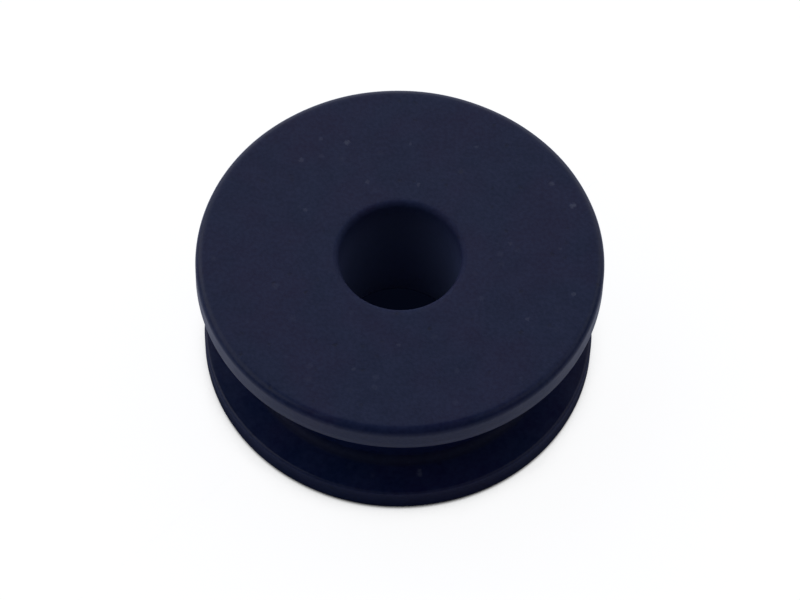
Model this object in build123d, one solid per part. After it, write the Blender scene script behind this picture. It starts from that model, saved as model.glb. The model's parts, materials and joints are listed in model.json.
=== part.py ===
from build123d import *
import os

# Rubber gasket of I section, moulded in one piece: a spool with a flange at
# each end of a thick core, and a straight bore through it.
# Frame: origin at the centre of the lower face, +Z along the bore. Millimetres.

# Flanges
flange_dia = 20.0
lower_flange_inset = 0.3  # the lower rim stands this far inside the upper one
upper_flange_thickness = 1.5
lower_flange_thickness = 1.5

# Groove between the flanges, which takes the edge of a panel
groove_width = 5.0
groove_depth = 2.3

# Bore
bore_dia = 6.0

# Rounded outer edges and bore mouths, and the small bevels of the groove
rim_radius = 0.4
bore_mouth_radius = 0.3
groove_mouth_bevel = 0.15
groove_root_bevel = 0.3
corner_share = 0.4  # the most of its wall that one corner may take up

# Working radii and levels
upper_flange_r = flange_dia / 2
lower_flange_r = upper_flange_r - lower_flange_inset
core_r = upper_flange_r - groove_depth
bore_r = bore_dia / 2
groove_floor_z = lower_flange_thickness
groove_roof_z = groove_floor_z + groove_width
height = groove_roof_z + upper_flange_thickness

# The most that each kind of corner may take up, from the walls that it lies on
flange_limit = corner_share * min(upper_flange_thickness, lower_flange_thickness)
groove_limit = corner_share * min(groove_width, lower_flange_r - core_r)
core_limit = corner_share * (core_r - bore_r)


def ring(inner_r, outer_r, low_z, high_z):
    """Half-section of one ring of the spool: a rectangle in the XZ plane."""
    corner = Pos(inner_r, 0, low_z) * Rot(90, 0, 0)
    return corner * Rectangle(outer_r - inner_r, high_z - low_z, align=(Align.MIN, Align.MIN))


def corners(section, places):
    """The section's corners that lie at the given (radius, height) places."""
    points = [Vector(r, 0, z) for r, z in places]
    return [v for v in section.vertices() if min((v.center() - p).length for p in points) < 1e-6]


# Half-section: the core from face to face, and a flange at each end
section = ring(bore_r, core_r, 0, height)
section += ring(bore_r, lower_flange_r, 0, groove_floor_z)
section += ring(bore_r, upper_flange_r, groove_roof_z, height)
section = section.clean()

# Its corners, named by where they lie
rims = [(lower_flange_r, 0), (upper_flange_r, height)]
bore_mouths = [(bore_r, 0), (bore_r, height)]
groove_mouths = [(lower_flange_r, groove_floor_z), (upper_flange_r, groove_roof_z)]
groove_roots = [(core_r, groove_floor_z), (core_r, groove_roof_z)]

section = fillet(corners(section, rims), min(rim_radius, flange_limit))
section = fillet(corners(section, bore_mouths), min(bore_mouth_radius, flange_limit, core_limit))
section = chamfer(corners(section, groove_mouths), min(groove_mouth_bevel, flange_limit, groove_limit))
section = chamfer(corners(section, groove_roots), min(groove_root_bevel, groove_limit))

gasket = revolve(section, axis=Axis.Z)

os.makedirs("parts", exist_ok=True)
export_step(gasket, "parts/rubber_gasket.step")
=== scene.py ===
"""Looks of a moulded rubber spool gasket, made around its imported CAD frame.

The frame's origin is the centre of the gasket's lower face and +Z runs up the bore.
Lengths are in metres, and sizes that a maker would read off are written in millimetres times MM.
"""

import json
import logging
import math
from collections.abc import Callable, Iterator
from contextlib import contextmanager
from dataclasses import dataclass, field
from enum import Enum

import bmesh
import bpy
from mathutils import Matrix, Vector

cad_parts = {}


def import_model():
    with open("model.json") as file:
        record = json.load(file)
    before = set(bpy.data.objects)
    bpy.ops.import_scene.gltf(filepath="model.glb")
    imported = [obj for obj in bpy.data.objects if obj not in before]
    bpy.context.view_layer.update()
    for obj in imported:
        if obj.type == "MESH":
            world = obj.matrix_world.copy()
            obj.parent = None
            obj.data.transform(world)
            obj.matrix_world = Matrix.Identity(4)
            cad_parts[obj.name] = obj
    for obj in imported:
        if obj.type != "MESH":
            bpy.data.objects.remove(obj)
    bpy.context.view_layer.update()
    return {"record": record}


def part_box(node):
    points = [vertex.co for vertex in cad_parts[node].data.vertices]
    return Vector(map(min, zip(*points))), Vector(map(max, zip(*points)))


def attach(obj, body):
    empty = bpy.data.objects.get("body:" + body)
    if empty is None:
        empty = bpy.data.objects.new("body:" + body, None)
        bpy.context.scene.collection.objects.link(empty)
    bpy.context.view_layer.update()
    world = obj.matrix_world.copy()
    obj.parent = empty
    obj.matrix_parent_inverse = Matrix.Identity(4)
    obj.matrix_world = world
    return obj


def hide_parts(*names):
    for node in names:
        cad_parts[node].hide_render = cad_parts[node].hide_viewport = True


MM = 0.001
NODE = "rubber_gasket"
ROOT_BODY = "root"

# How near an edge's ends lie to the hoop they belong to, and doubled vertices to each other
HOOP_REACH = 0.01 * MM
MERGE_REACH = 0.001 * MM
SMOOTH_ANGLE = math.radians(35)
NOISE_ROUGHNESS = 0.55

RingPlace = tuple[float, float]
Span = tuple[float, float]
Colour = tuple[float, float, float, float]
Socket = bpy.types.NodeSocket

log = logging.getLogger("gasket")


class Corner(Enum):
    """The kinds of corner that the gasket's section has, each with its cut and its number of facets."""

    RIM = (0.40 * MM, 8)
    BORE_MOUTH = (0.30 * MM, 6)
    GROOVE_MOUTH = (0.15 * MM, 3)
    GROOVE_ROOT = (0.30 * MM, 4)

    @property
    def reach(self) -> float:
        """How far the corner's cut reaches along each of its two walls."""
        return self.value[0]

    @property
    def facets(self) -> int:
        """Number of facets across the corner."""
        return self.value[1]


def stands_upright(normal: Vector) -> bool:
    """Say whether a face with this normal is part of a wall."""
    return abs(normal.z) < 0.5


def lies_level(normal: Vector) -> bool:
    """Say whether a face with this normal is part of a level face."""
    return abs(normal.z) > 0.9


class Bench:
    """One mesh piece on the bench, shaped in edit mode with the modelling operators."""

    def __init__(self, name: str, radius: float, height: float, segments: int) -> None:
        """Start from a closed cylinder that stands on the origin.

        Args:
            name: The piece's name.
            radius: Radius of the cylinder.
            height: Height of the cylinder.
            segments: Number of sides around it.
        """
        bpy.ops.object.select_all(action="DESELECT")
        bpy.ops.mesh.primitive_cylinder_add(
            vertices=segments,
            radius=radius,
            depth=height,
            location=(0, 0, height / 2),
        )
        bpy.ops.object.transform_apply(location=True, rotation=False, scale=False)
        self.piece = bpy.context.active_object
        self.piece.name = name
        self.piece.data.name = name

    @contextmanager
    def editing(self) -> Iterator[None]:
        """Hold the piece in edit mode with nothing selected."""
        bpy.ops.object.select_all(action="DESELECT")
        self.piece.select_set(True)
        bpy.context.view_layer.objects.active = self.piece
        bpy.ops.object.mode_set(mode="EDIT")
        bpy.ops.mesh.select_all(action="DESELECT")
        yield
        bpy.ops.object.mode_set(mode="OBJECT")

    def pick_faces(self, wanted: Callable[[Vector, Vector], bool]) -> None:
        """Select only the faces that pass a test.

        Args:
            wanted: Told a face's centre and normal, says whether to select it.
        """
        bpy.ops.mesh.select_mode(type="FACE")
        bpy.ops.mesh.select_all(action="DESELECT")
        mesh = bmesh.from_edit_mesh(self.piece.data)
        for face in mesh.faces:
            face.select_set(wanted(face.calc_center_median(), face.normal))
        bmesh.update_edit_mesh(self.piece.data)

    def pick_hoops(self, places: list[RingPlace]) -> None:
        """Select only the edges of the hoops that run round the axis at some places.

        Args:
            places: Radius and height of each hoop.
        """
        bpy.ops.mesh.select_mode(type="EDGE")
        bpy.ops.mesh.select_all(action="DESELECT")
        mesh = bmesh.from_edit_mesh(self.piece.data)
        for edge in mesh.edges:
            ends = [(v.co.to_2d().length, v.co.z) for v in edge.verts]
            on_hoop = (all(math.dist(end, place) < HOOP_REACH for end in ends) for place in places)
            edge.select_set(any(on_hoop))
        bmesh.update_edit_mesh(self.piece.data)

    def cut_level(self, height: float) -> None:
        """Cut the whole piece across at a height, which adds a hoop of edges there."""
        bpy.ops.mesh.select_all(action="SELECT")
        bpy.ops.mesh.bisect(plane_co=(0, 0, height), plane_no=(0, 0, 1))

    def squeeze(self, ratio: float) -> None:
        """Scale the selection towards the bore's axis."""
        bpy.ops.transform.resize(value=(ratio, ratio, 1), center_override=(0, 0, 0))

    def round_corner(self, corner: Corner, places: list[RingPlace]) -> None:
        """Bevel the hoops at some places as their kind of corner asks."""
        self.pick_hoops(places)
        bpy.ops.mesh.bevel(offset=corner.reach, segments=corner.facets, affect="EDGES", clamp_overlap=False)

    def close_up(self) -> None:
        """Merge what lies double and turn all faces outwards."""
        bpy.ops.mesh.select_all(action="SELECT")
        bpy.ops.mesh.remove_doubles(threshold=MERGE_REACH)
        bpy.ops.mesh.normals_make_consistent(inside=False)


@dataclass
class SpoolGasket:
    """The gasket's one piece: a bored core with a flange at each end, moulded in rubber."""

    flange_r: float
    height: float
    bore_r: float
    core_r: float
    groove_width: float
    lower_inset: float = 0.3 * MM
    sides: int = 288
    rim_levels: int = 3
    wall_levels: int = 8
    groove_steps: int = 5
    face_rings: int = 10
    bore_rings: int = 10
    corner_support: float = 0.15 * MM
    wave_height: float = 0.05 * MM
    wave_length: float = 7.0 * MM
    piece: bpy.types.Object = field(init=False)

    @classmethod
    def from_frame(cls, record: dict) -> "SpoolGasket":
        """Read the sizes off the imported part.

        Args:
            record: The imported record.

        Returns:
            A gasket as large as the CAD node, with its bore and groove.
        """
        _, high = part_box(NODE)
        dims = {mount["name"]: mount["dims"] for mount in record["mounts"]}
        return cls(
            flange_r=high.x,
            height=high.z,
            bore_r=dims["bore"]["r_mm"] * MM,
            core_r=dims["groove"]["r_mm"] * MM,
            groove_width=dims["groove"]["length_mm"] * MM,
        )

    @property
    def groove_floor(self) -> float:
        """Height of the lower flange's upper face."""
        return (self.height - self.groove_width) / 2

    @property
    def groove_roof(self) -> float:
        """Height of the upper flange's lower face."""
        return self.groove_floor + self.groove_width

    @property
    def lower_r(self) -> float:
        """Radius of the slightly smaller lower flange."""
        return self.flange_r - self.lower_inset

    def build(self) -> None:
        """Model the spool from one cylinder, then give it its soft moulded waviness."""
        bench = Bench("spool_body", self.flange_r, self.height, self.sides)
        with bench.editing():
            self._sink_groove(bench)
            self._draw_in_lower_flange(bench)
            self._open_bore(bench)
            self._break_corners(bench)
            bench.close_up()
        self.piece = bench.piece
        self._make_wavy()
        bpy.ops.object.shade_smooth_by_angle(angle=SMOOTH_ANGLE)

    def _sink_groove(self, bench: Bench) -> None:
        """Cut the wall at the groove's two sides and draw the band between them in, step by step.

        Args:
            bench: The bench that holds the closed cylinder.
        """
        for level in range(1, self.rim_levels):
            share = level / self.rim_levels
            bench.cut_level(self.groove_floor * share)
            bench.cut_level(self.height - self.groove_floor * share)
        for level in range(self.wall_levels + 1):
            bench.cut_level(self.groove_floor + self.groove_width * level / self.wall_levels)
        bench.pick_faces(
            lambda centre, normal: stands_upright(normal)
            and self.groove_floor < centre.z < self.groove_roof
        )
        radius = self.flange_r
        for step in range(1, self.groove_steps + 1):
            inner = self.flange_r + (self.core_r - self.flange_r) * step / self.groove_steps
            bpy.ops.mesh.extrude_region_move()
            bench.squeeze(inner / radius)
            radius = inner

    def _draw_in_lower_flange(self, bench: Bench) -> None:
        """Make the lower flange's rim a little smaller than the upper one's."""
        bench.pick_faces(lambda centre, normal: stands_upright(normal) and centre.z < self.groove_floor)
        bench.squeeze(self.lower_r / self.flange_r)

    def _open_bore(self, bench: Bench) -> None:
        """Inset each end face ring by ring down to the bore, then bridge the two discs that are left.

        Args:
            bench: The bench that holds the grooved cylinder.
        """
        outer = Corner.RIM.reach + self.corner_support
        inner = Corner.BORE_MOUTH.reach + self.corner_support
        for rim, side in ((self.flange_r, 1), (self.lower_r, -1)):
            bench.pick_faces(
                lambda centre, normal, side=side: lies_level(normal)
                and normal.z * side > 0
                and centre.to_2d().length < self.bore_r
            )
            between = (rim - self.bore_r - outer - inner) / self.face_rings
            for thickness in [outer] + [between] * self.face_rings + [inner]:
                bpy.ops.mesh.inset(thickness=thickness)
        bench.pick_faces(
            lambda centre, normal: lies_level(normal) and centre.to_2d().length < self.bore_r / 2
        )
        bpy.ops.mesh.bridge_edge_loops(number_cuts=self.bore_rings)

    def _break_corners(self, bench: Bench) -> None:
        """Round the rims and the bore's mouths, and ease the groove's mouths and roots.

        Args:
            bench: The bench that holds the bored spool.
        """
        bench.round_corner(Corner.RIM, [(self.lower_r, 0), (self.flange_r, self.height)])
        bench.round_corner(Corner.BORE_MOUTH, [(self.bore_r, 0), (self.bore_r, self.height)])
        bench.round_corner(
            Corner.GROOVE_MOUTH,
            [(self.lower_r, self.groove_floor), (self.flange_r, self.groove_roof)],
        )
        bench.round_corner(
            Corner.GROOVE_ROOT,
            [(self.core_r, self.groove_floor), (self.core_r, self.groove_roof)],
        )

    def _make_wavy(self) -> None:
        """Move the surface by a few hundredths of a millimetre, as soft rubber comes out of its mould."""
        swell = bpy.data.textures.new("mould_swell", "CLOUDS")
        swell.noise_scale = self.wave_length
        swell.noise_depth = 1
        waves = self.piece.modifiers.new("waves", "DISPLACE")
        waves.texture = swell
        waves.texture_coords = "LOCAL"
        waves.strength = self.wave_height
        waves.mid_level = 0.5
        bpy.ops.object.modifier_apply(modifier=waves.name)

    def dress(self, finish: "MouldedRubber") -> None:
        """Give the piece its rubber and tie it to the frame.

        Args:
            finish: The rubber's finish.
        """
        self.piece.data.materials.clear()
        self.piece.data.materials.append(finish.material())
        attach(self.piece, ROOT_BODY)
        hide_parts(NODE)


@dataclass(frozen=True)
class Speck:
    """One grain of dust on a level face."""

    x: float
    y: float
    across: float
    paleness: float

    @property
    def reach(self) -> Span:
        """Distances from the speck's middle at which it ends and at which it is full."""
        return self.across * 0.6, self.across * 0.2


DUST_ON_TOP = (
    Speck(-2.77 * MM, 6.58 * MM, 0.34 * MM, 0.31),
    Speck(-5.02 * MM, 5.48 * MM, 0.30 * MM, 0.22),
    Speck(-1.71 * MM, 4.28 * MM, 0.28 * MM, 0.17),
    Speck(8.43 * MM, 3.18 * MM, 0.34 * MM, 0.38),
    Speck(8.47 * MM, -1.94 * MM, 0.28 * MM, 0.22),
    Speck(7.39 * MM, 4.45 * MM, 0.28 * MM, 0.25),
    Speck(6.25 * MM, -3.44 * MM, 0.26 * MM, 0.17),
    Speck(0.81 * MM, 4.18 * MM, 0.24 * MM, 0.19),
    Speck(-4.71 * MM, 2.53 * MM, 0.26 * MM, 0.17),
    Speck(-4.07 * MM, 6.77 * MM, 0.22 * MM, 0.15),
    Speck(0.37 * MM, 6.62 * MM, 0.22 * MM, 0.15),
    Speck(-2.09 * MM, -6.52 * MM, 0.24 * MM, 0.15),
    Speck(5.39 * MM, 0.86 * MM, 0.24 * MM, 0.15),
    Speck(0.04 * MM, -5.11 * MM, 0.22 * MM, 0.15),
    Speck(3.65 * MM, 6.54 * MM, 0.22 * MM, 0.15),
    Speck(7.79 * MM, 0.64 * MM, 0.22 * MM, 0.14),
)
DUST_IN_GROOVE = (
    Speck(1.24 * MM, -8.29 * MM, 0.30 * MM, 0.26),
    Speck(1.24 * MM, -8.52 * MM, 0.30 * MM, 0.26),
)


class NodeBoard:
    """The node tree of a material or the world, with short ways to add and join its nodes."""

    def __init__(self, owner: bpy.types.Material | bpy.types.World) -> None:
        """Clear the owner's tree and keep it.

        Args:
            owner: The material or world that the nodes are for.
        """
        owner.use_nodes = True
        self.tree = owner.node_tree
        self.tree.nodes.clear()

    def add(self, kind: str, inputs: dict | None = None, **settings: object) -> bpy.types.Node:
        """Add a node.

        Args:
            kind: The node's type without its ShaderNode prefix.
            inputs: Values or sockets for its inputs, by name or number.
            **settings: The node's own properties.

        Returns:
            The new node.
        """
        node = self.tree.nodes.new("ShaderNode" + kind)
        for name, value in settings.items():
            setattr(node, name, value)
        for key, value in (inputs or {}).items():
            if isinstance(value, Socket):
                self.tree.links.new(value, node.inputs[key])
            else:
                node.inputs[key].default_value = value
        return node

    def math(self, operation: str, *values: object, clamp: bool = False) -> Socket:
        """Add a Math node and return its result."""
        node = self.add("Math", dict(enumerate(values)), operation=operation, use_clamp=clamp)
        return node.outputs[0]

    def remap(self, value: Socket, old: Span, new: Span = (0.0, 1.0)) -> Socket:
        """Map a value from one range to another, eased at both ends, and return it."""
        inputs = {
            "Value": value,
            "From Min": old[0],
            "From Max": old[1],
            "To Min": new[0],
            "To Max": new[1],
        }
        return self.add("MapRange", inputs, interpolation_type="SMOOTHSTEP").outputs["Result"]

    def noise(self, place: Socket, size: float, detail: float = 2.0) -> Socket:
        """Add a noise of a real size and return its value from 0 to 1."""
        inputs = {"Vector": place, "Scale": 1.0 / size, "Detail": detail, "Roughness": NOISE_ROUGHNESS}
        return self.add("TexNoise", inputs).outputs[0]

    def tint(self, share: object, under: object, over: object) -> Socket:
        """Mix two colours and return the result."""
        node = self.add("Mix", {0: share, 6: under, 7: over}, data_type="RGBA")
        return node.outputs[2]

    def radius(self, place: Socket) -> Socket:
        """Return a point's distance from the Z axis."""
        flat = self.add("VectorMath", {0: place, 1: (1, 1, 0)}, operation="MULTIPLY").outputs[0]
        return self.add("VectorMath", {0: flat}, operation="LENGTH").outputs["Value"]

    def height(self, place: Socket) -> Socket:
        """Return a point's height."""
        return self.add("SeparateXYZ", {0: place}).outputs[2]


@dataclass(frozen=True)
class Strewing:
    """Small round spots strewn over the skin, at most one to a cell of a real size.

    A spot ends and is full at two shares of its cell. Cells with a draw below the first of the
    two draws have none, and from the second on a spot has its full strength.
    """

    spacing: float
    reach: Span
    draws: Span
    strength: float

    def share(self, board: NodeBoard, place: Socket) -> Socket:
        """Make the mask of the spots.

        Args:
            board: The rubber's node board.
            place: Object coordinates.

        Returns:
            How much of a spot there is, from 0 to the strength.
        """
        cells = board.add("TexVoronoi", {"Vector": place, "Scale": 1.0 / self.spacing}, feature="F1")
        draw = board.add("SeparateColor", {"Color": cells.outputs["Color"]}).outputs[0]
        spots = board.remap(cells.outputs["Distance"], self.reach)
        chosen = board.remap(draw, self.draws, (0.0, self.strength))
        return board.math("MULTIPLY", spots, chosen)


@dataclass(frozen=True)
class SkinPatterns:
    """The patterns that the rubber's colour, gloss and relief share."""

    place: Socket
    mottle: Socket
    grain: Socket
    dust: Socket
    pits: Socket
    roots: Socket


@dataclass(frozen=True)
class MouldedRubber:
    """Blue-black moulded rubber: a fine-grained skin with faint mottling, tiny pits and a little dust, with
    painted light deep in the bore and painted shade at the groove's inner corners.
    """

    face_height: float
    bore_edge: float
    core_edge: float
    groove_floor: float
    groove_roof: float
    blue: Colour = (0.0016, 0.0070, 0.0350, 1)
    violet: Colour = (0.0052, 0.0062, 0.0350, 1)
    bloom: Colour = (0.0100, 0.0165, 0.0560, 1)
    # Colour of the pits, also used for the painted shade at the groove's inner corners
    pit_and_root_shade: Colour = (0.0006, 0.0020, 0.0120, 1)
    dust: Colour = (0.080, 0.092, 0.150, 1)
    # Painted light: the pale blue colour that the bore's wall takes on with depth, where it lies in shade
    bore_painted_light: Colour = (0.115, 0.150, 0.310, 1)
    noise_span: Span = (0.3, 0.7)
    cast_size: float = 3.4 * MM
    cast_span: Span = (0.35, 0.65)
    mottle_size: float = 1.1 * MM
    mottle_bloom: Span = (0.05, 0.30)
    grain_size: float = 0.20 * MM
    grain_bloom: Span = (-0.10, 0.40)
    fine_detail: float = 3.0
    grit: Strewing = Strewing(spacing=1.0 * MM, reach=(0.24, 0.06), draws=(0.40, 1.0), strength=0.09)
    pits: Strewing = Strewing(spacing=0.75 * MM, reach=(0.22, 0.06), draws=(0.35, 1.0), strength=0.45)
    shake_size: float = 0.12 * MM
    shake_reach: float = 0.22 * MM
    bore_painted_light_depth: float = 7.5 * MM
    bore_painted_light_reach: Span = (0.12 * MM, 0.02 * MM)
    bore_matt_reach: Span = (0.40 * MM, 0.22 * MM)
    # Painted shade at the groove's inner corners: how far it reaches and how dark it gets
    root_reach: Span = (0.52 * MM, 0.28 * MM)
    root_painted_shade: float = 0.4
    roughness: Span = (0.31, 0.37)
    dust_matt: float = 0.3
    corner_matt: float = 0.35
    dust_relief: float = 1.5
    pit_relief: float = 1.2
    grain_height: float = 0.010 * MM
    grain_strength: float = 0.7
    ior: float = 1.25

    def material(self) -> bpy.types.Material:
        """Make the rubber's material.

        Returns:
            A procedural material in object coordinates.
        """
        rubber = bpy.data.materials.new("moulded_rubber")
        board = NodeBoard(rubber)
        skin = self._patterns(board)
        bump = board.add(
            "Bump",
            {
                "Strength": self.grain_strength,
                "Distance": self.grain_height,
                "Height": self._relief(board, skin),
            },
        )
        shader = board.add(
            "BsdfPrincipled",
            {
                "Base Color": self._colour(board, skin),
                "Roughness": self._roughness(board, skin),
                "Normal": bump.outputs["Normal"],
                "IOR": self.ior,
            },
        )
        board.add("OutputMaterial", {"Surface": shader.outputs["BSDF"]})
        return rubber

    def _patterns(self, board: NodeBoard) -> SkinPatterns:
        """Make the patterns that more than one of the shader's inputs reads.

        Args:
            board: The rubber's node board.

        Returns:
            The patterns' sockets.
        """
        place = board.add("TexCoord").outputs["Object"]
        ragged = self._shaken(board, place)
        return SkinPatterns(
            place=place,
            mottle=board.noise(place, self.mottle_size, self.fine_detail),
            grain=board.noise(place, self.grain_size, self.fine_detail),
            dust=self._dust_share(board, ragged),
            pits=self.pits.share(board, ragged),
            roots=self._root_share(board, place),
        )

    def _shaken(self, board: NodeBoard, place: Socket) -> Socket:
        """Shift each point a little, so that round spots turn out ragged.

        Args:
            board: The rubber's node board.
            place: Object coordinates.

        Returns:
            The shifted coordinates.
        """
        shake = board.add("TexNoise", {"Vector": place, "Scale": 1.0 / self.shake_size, "Detail": 1.0})
        centred = {0: shake.outputs["Color"], 1: (0.5, 0.5, 0.5)}
        shift = board.add("VectorMath", centred, operation="SUBTRACT")
        shift = board.add("VectorMath", {0: shift.outputs[0], "Scale": self.shake_reach}, operation="SCALE")
        return board.add("VectorMath", {0: place, 1: shift.outputs[0]}, operation="ADD").outputs[0]

    def _colour(self, board: NodeBoard, skin: SkinPatterns) -> Socket:
        """Lay the rubber's colours over each other.

        Args:
            board: The rubber's node board.
            skin: The skin's patterns.

        Returns:
            The colour.
        """
        cast = board.remap(board.noise(skin.place, self.cast_size), self.cast_span)
        tone = board.remap(skin.mottle, self.noise_span, self.mottle_bloom)
        fine_tone = board.remap(skin.grain, self.noise_span, self.grain_bloom)
        tone = board.math("ADD", tone, fine_tone, clamp=True)
        colour = board.tint(tone, board.tint(cast, self.blue, self.violet), self.bloom)
        colour = board.tint(skin.pits, colour, self.pit_and_root_shade)
        # Painted light: the bore's wall grows paler and bluer with depth, against the shade deep in the
        # bore
        colour = board.tint(self._bore_painted_light_share(board, skin.place), colour, self.bore_painted_light)
        # Painted shade: the groove's inner corners darken towards the pit colour
        colour = board.tint(board.math("MULTIPLY", skin.roots, self.root_painted_shade), colour, self.pit_and_root_shade)
        return board.tint(skin.dust, colour, self.dust)

    def _roughness(self, board: NodeBoard, skin: SkinPatterns) -> Socket:
        """Vary the satin with the mottling, more matt in the dust, at the bore and at the groove's roots.

        Args:
            board: The rubber's node board.
            skin: The skin's patterns.

        Returns:
            The roughness.
        """
        rough = board.remap(skin.mottle, self.noise_span, self.roughness)
        rough = board.math("ADD", rough, board.math("MULTIPLY", skin.dust, self.dust_matt))
        at_bore = self._near_bore(board, skin.place, self.bore_matt_reach)
        matt = board.math("MAXIMUM", at_bore, skin.roots)
        return board.math("ADD", rough, board.math("MULTIPLY", matt, self.corner_matt), clamp=True)

    def _relief(self, board: NodeBoard, skin: SkinPatterns) -> Socket:
        """Raise the dust over the grain, and sink the pits.

        Args:
            board: The rubber's node board.
            skin: The skin's patterns.

        Returns:
            The relief, in heights of the grain.
        """
        relief = board.math("ADD", skin.grain, board.math("MULTIPLY", skin.dust, self.dust_relief))
        return board.math("SUBTRACT", relief, board.math("MULTIPLY", skin.pits, self.pit_relief))

    def _near_bore(self, board: NodeBoard, place: Socket, reach: Span) -> Socket:
        """Make a mask of what lies at the bore.

        Args:
            board: The rubber's node board.
            place: Object coordinates.
            reach: How far outside the bore's edge the mask starts, and how far it is full.

        Returns:
            How near a point is to the bore, from 0 to 1.
        """
        return board.remap(board.radius(place), (self.bore_edge + reach[0], self.bore_edge + reach[1]))

    def _root_share(self, board: NodeBoard, place: Socket) -> Socket:
        """Make the mask of the groove's two inner corners, which get painted shade and are matt.

        Args:
            board: The rubber's node board.
            place: Object coordinates.

        Returns:
            How near a point is to one of the corners, from 0 to 1.
        """
        middle = (self.groove_floor + self.groove_roof) / 2
        from_middle = board.math("ABSOLUTE", board.math("SUBTRACT", board.height(place), middle))
        past_groove = board.math("SUBTRACT", from_middle, self.groove_roof - middle)
        outside_core = board.math("SUBTRACT", board.radius(place), self.core_edge)
        gap = board.add("CombineXYZ", {0: outside_core, 1: past_groove}).outputs[0]
        gap = board.add("VectorMath", {0: gap}, operation="LENGTH").outputs["Value"]
        return board.remap(gap, self.root_reach)

    def _bore_painted_light_share(self, board: NodeBoard, place: Socket) -> Socket:
        """Make the mask of the painted light on the bore's wall, which grows with depth.

        Args:
            board: The rubber's node board.
            place: Object coordinates.

        Returns:
            How much of that painted light there is, from 0 to 1.
        """
        depth = board.math("SUBTRACT", self.face_height, board.height(place))
        depth = board.math("DIVIDE", depth, self.bore_painted_light_depth, clamp=True)
        on_wall = self._near_bore(board, place, self.bore_painted_light_reach)
        return board.math("MULTIPLY", on_wall, depth)

    def _dust_share(self, board: NodeBoard, place: Socket) -> Socket:
        """Make the dust: a thin scatter of tiny grains all over, and the larger ones on the level faces.

        Args:
            board: The rubber's node board.
            place: Object coordinates.

        Returns:
            How much dust there is, from 0 to 1.
        """
        dust = self.grit.share(board, place)
        specks = [(speck, self.face_height) for speck in DUST_ON_TOP]
        specks += [(speck, self.groove_floor) for speck in DUST_IN_GROOVE]
        for speck, level in specks:
            inputs = {0: place, 1: (speck.x, speck.y, level)}
            gap = board.add("VectorMath", inputs, operation="DISTANCE").outputs["Value"]
            spot = board.remap(gap, speck.reach, (0.0, speck.paleness))
            dust = board.math("MAXIMUM", dust, spot)
        return dust


@dataclass(frozen=True)
class StudioFloor:
    """The plain pale floor, white to the camera, with the gasket's contact shadow painted on it from
    ambient occlusion.

    Openness is the share of the air over a point that the gasket leaves free. The floor is in deep
    shade at the first of two such shares and fully open at the second.
    """

    across: float = 4.0
    drop: float = 0.02 * MM
    pale: Colour = (0.70, 0.74, 0.92, 1)
    deep_shade: Colour = (0.0012, 0.0020, 0.0060, 1)
    camera_white: Colour = (1, 1, 1, 1)
    white: float = 1.10
    seen_white: float = 0.85
    mirrored_white: float = 0.33
    shade_reach: float = 9 * MM
    shade_samples: int = 16
    seen_openness: Span = (0.25, 0.60)
    lit_openness: Span = (0.50, 0.87)

    def build(self) -> None:
        """Lay the floor just under the gasket."""
        bpy.ops.object.select_all(action="DESELECT")
        bpy.ops.mesh.primitive_plane_add(size=self.across, location=(0, 0, -self.drop))
        floor = bpy.context.active_object
        floor.name = "studio_floor"
        floor.data.materials.append(self._material())

    def _material(self) -> bpy.types.Material:
        """Make the floor's paint: matt to the light, mostly plain white to the camera.

        Returns:
            The paint, which reflections see partly matt and partly plain.
        """
        paint = bpy.data.materials.new("floor_paint")
        board = NodeBoard(paint)
        shade = board.add("AmbientOcclusion", {"Distance": self.shade_reach}, samples=self.shade_samples)
        path = board.add("LightPath").outputs
        # Painted shadow: ambient occlusion darkens the floor's colour and glow towards deep_shade, black in
        # the bore; reflections and bounced light see it darker and wider than the camera does
        lit = board.remap(shade.outputs["AO"], self.lit_openness)
        opened = board.remap(shade.outputs["AO"], self.seen_openness)
        opened = board.add("Mix", {0: path["Is Camera Ray"], 2: lit, 3: opened}).outputs[0]
        matt = board.add("BsdfDiffuse", {"Color": board.tint(opened, self.deep_shade, self.pale)})
        open_colour = board.tint(path["Is Camera Ray"], self.pale, self.camera_white)
        glow_colour = board.tint(opened, self.deep_shade, open_colour)
        glow = board.add("Emission", {"Color": glow_colour, "Strength": self.white})
        mirrored = board.math("MAXIMUM", path["Is Glossy Ray"], path["Is Transmission Ray"])
        mirrored = board.math("MULTIPLY", mirrored, self.mirrored_white)
        seen = board.math("MULTIPLY", path["Is Camera Ray"], self.seen_white)
        share = board.math("MAXIMUM", seen, mirrored)
        mixed = board.add("MixShader", {0: share, 1: matt.outputs[0], 2: glow.outputs[0]})
        board.add("OutputMaterial", {"Surface": mixed.outputs[0]})
        return paint


@dataclass(frozen=True)
class SoftPanel:
    """One soft studio panel that faces the gasket.

    Azimuth 0 stands on the camera's side, 90 to the right and 180 behind the gasket, in degrees.
    """

    name: str
    azimuth: float
    elevation: float
    distance: float
    width: float
    height: float
    radiance: float

    def build(self) -> None:
        """Hang the panel at its place."""
        turn = math.radians(self.azimuth)
        tilt = math.radians(self.elevation)
        away = Vector((math.sin(turn) * math.cos(tilt), -math.cos(turn) * math.cos(tilt), math.sin(tilt)))
        data = bpy.data.lights.new(self.name, "AREA")
        data.shape = "RECTANGLE"
        data.size = self.width
        data.size_y = self.height
        data.energy = self.radiance * math.pi * self.width * self.height
        panel = bpy.data.objects.new(self.name, data)
        panel.location = away * self.distance
        panel.rotation_euler = away.to_track_quat("Z", "Y").to_euler()
        bpy.context.scene.collection.objects.link(panel)


PANELS = (
    SoftPanel("back_panel", 180, 54, distance=0.50, width=1.20, height=0.27, radiance=0.82),
    SoftPanel("window", 180, 20, distance=0.60, width=2.00, height=0.42, radiance=1.0),
    SoftPanel("left_panel", -98, 40, distance=0.50, width=0.60, height=0.50, radiance=1.20),
    SoftPanel("right_panel", 92, 44, distance=0.50, width=0.50, height=0.42, radiance=0.62),
)


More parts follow.
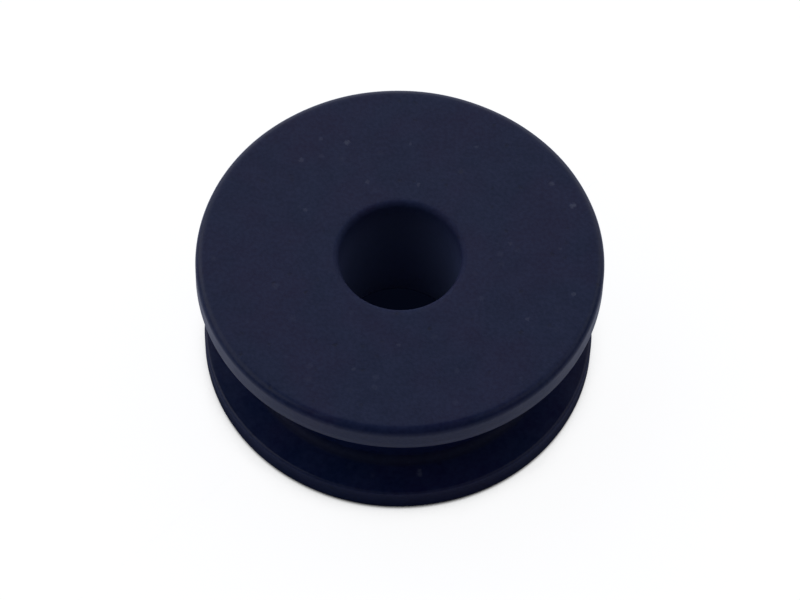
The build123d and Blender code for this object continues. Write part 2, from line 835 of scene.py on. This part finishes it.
@dataclass(frozen=True)
class StudioAir:
    """The room's dim even light, white to the camera.

    Gloss shows a white sweep behind the gasket. It sets in where a direction's share along +Y is
    the first of two values and is full at the second.
    """

    fill: float = 0.20
    white: float = 1.0
    sweep: Span = (0.62, 0.90)

    def build(self) -> None:
        """Make the world."""
        world = bpy.data.worlds.new("studio_air")
        bpy.context.scene.world = world
        board = NodeBoard(world)
        path = board.add("LightPath").outputs
        towards = board.add("SeparateXYZ", {0: board.add("TexCoord").outputs["Generated"]}).outputs
        mirrored = board.math("MAXIMUM", path["Is Glossy Ray"], path["Is Transmission Ray"])
        mirrored = board.math("MULTIPLY", mirrored, board.remap(towards[1], self.sweep))
        seen = board.math("MAXIMUM", path["Is Camera Ray"], mirrored)
        strength = board.remap(seen, (0.0, 1.0), (self.fill, self.white))
        sky = board.add("Background", {"Strength": strength})
        board.add("OutputWorld", {"Surface": sky.outputs[0]})


@dataclass(frozen=True)
class PhotoCamera:
    """The camera at the photograph's place: above the front, a little rolled, with a long lens."""

    elevation: float = 57.34
    distance: float = 200.0 * MM
    roll: float = 1.53
    focal_px: float = 4099.0
    picture_px: float = 800.0
    sensor: float = 36.0
    aim_x: float = 0.055 * MM
    aim_height: float = 3.93 * MM
    clip_start: float = 0.001
    clip_end: float = 20.0

    def build(self, face_height: float) -> None:
        """Stand the camera at its distance from the middle of the upper face.

        Args:
            face_height: Height of the upper face.
        """
        tilt = math.radians(self.elevation)
        back = Vector((0, -math.cos(tilt), math.sin(tilt)))
        place = Vector((0, 0, face_height)) + back * self.distance
        aim = Vector((self.aim_x, 0, self.aim_height))
        data = bpy.data.cameras.new("photo_camera")
        data.sensor_width = self.sensor
        data.lens = self.focal_px / self.picture_px * self.sensor
        data.clip_start = self.clip_start
        data.clip_end = self.clip_end
        camera = bpy.data.objects.new("photo_camera", data)
        look = (place - aim).to_track_quat("Z", "Y").to_matrix().to_4x4()
        roll = Matrix.Rotation(math.radians(self.roll), 4, "Z")
        camera.matrix_world = Matrix.Translation(place) @ look @ roll
        bpy.context.scene.collection.objects.link(camera)
        bpy.context.scene.camera = camera


def main() -> None:
    """Load the frame, build the gasket on it, and set the stage, the light and the camera."""
    logging.basicConfig(level=logging.INFO, format="%(name)s: %(message)s")
    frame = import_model()

    gasket = SpoolGasket.from_frame(frame["record"])
    gasket.build()
    rubber = MouldedRubber(
        face_height=gasket.height,
        bore_edge=gasket.bore_r,
        core_edge=gasket.core_r,
        groove_floor=gasket.groove_floor,
        groove_roof=gasket.groove_roof,
    )
    gasket.dress(rubber)
    log.info("%s: %d faces", gasket.piece.name, len(gasket.piece.data.polygons))

    StudioFloor().build()
    log.info("studio floor laid")
    for panel in PANELS:
        panel.build()
        log.info("%s hung", panel.name)
    StudioAir().build()
    PhotoCamera().build(gasket.height)
    bpy.context.scene.view_settings.view_transform = "Standard"


if __name__ == "__main__":
    main()
